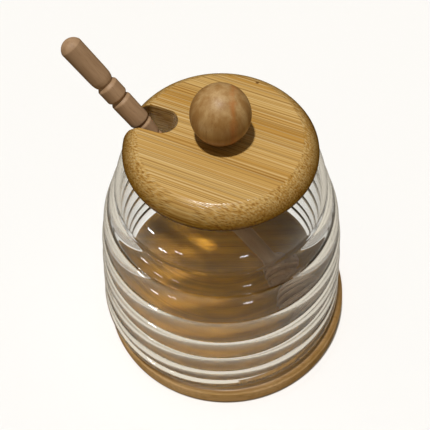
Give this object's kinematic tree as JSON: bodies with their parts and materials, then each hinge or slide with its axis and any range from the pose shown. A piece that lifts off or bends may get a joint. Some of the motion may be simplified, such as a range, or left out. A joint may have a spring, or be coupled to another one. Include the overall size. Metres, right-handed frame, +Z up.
{
  "type": "honey jar",
  "caption": "Clear glass honey jar with rounded ribs on a round bamboo base, with a notched bamboo lid, a wooden ball knob and a turned dipper leaning through the notch.",
  "frame": {"origin": "centre of the base's underside", "axes": "+Z up; the lid's notch opens towards -X and the dipper leans over it; +Y is behind the notch's plane as seen in the picture"},
  "size_m": [0.115, 0.11, 0.1494],
  "materials": {
    "bamboo_base": "oiled bamboo, satin",
    "clear_glass": "clear, glossy",
    "bamboo_lid": "oiled bamboo, satin",
    "beech_knob": "sanded and oiled wood, satin",
    "beech_dipper": "sanded bare wood, matt"
  },
  "bodies": {
    "root": {"base": "bamboo_base", "jar": "clear_glass", "lid": "bamboo_lid", "knob": "beech_knob", "dipper": "beech_dipper"}
  },
  "joints": []
}
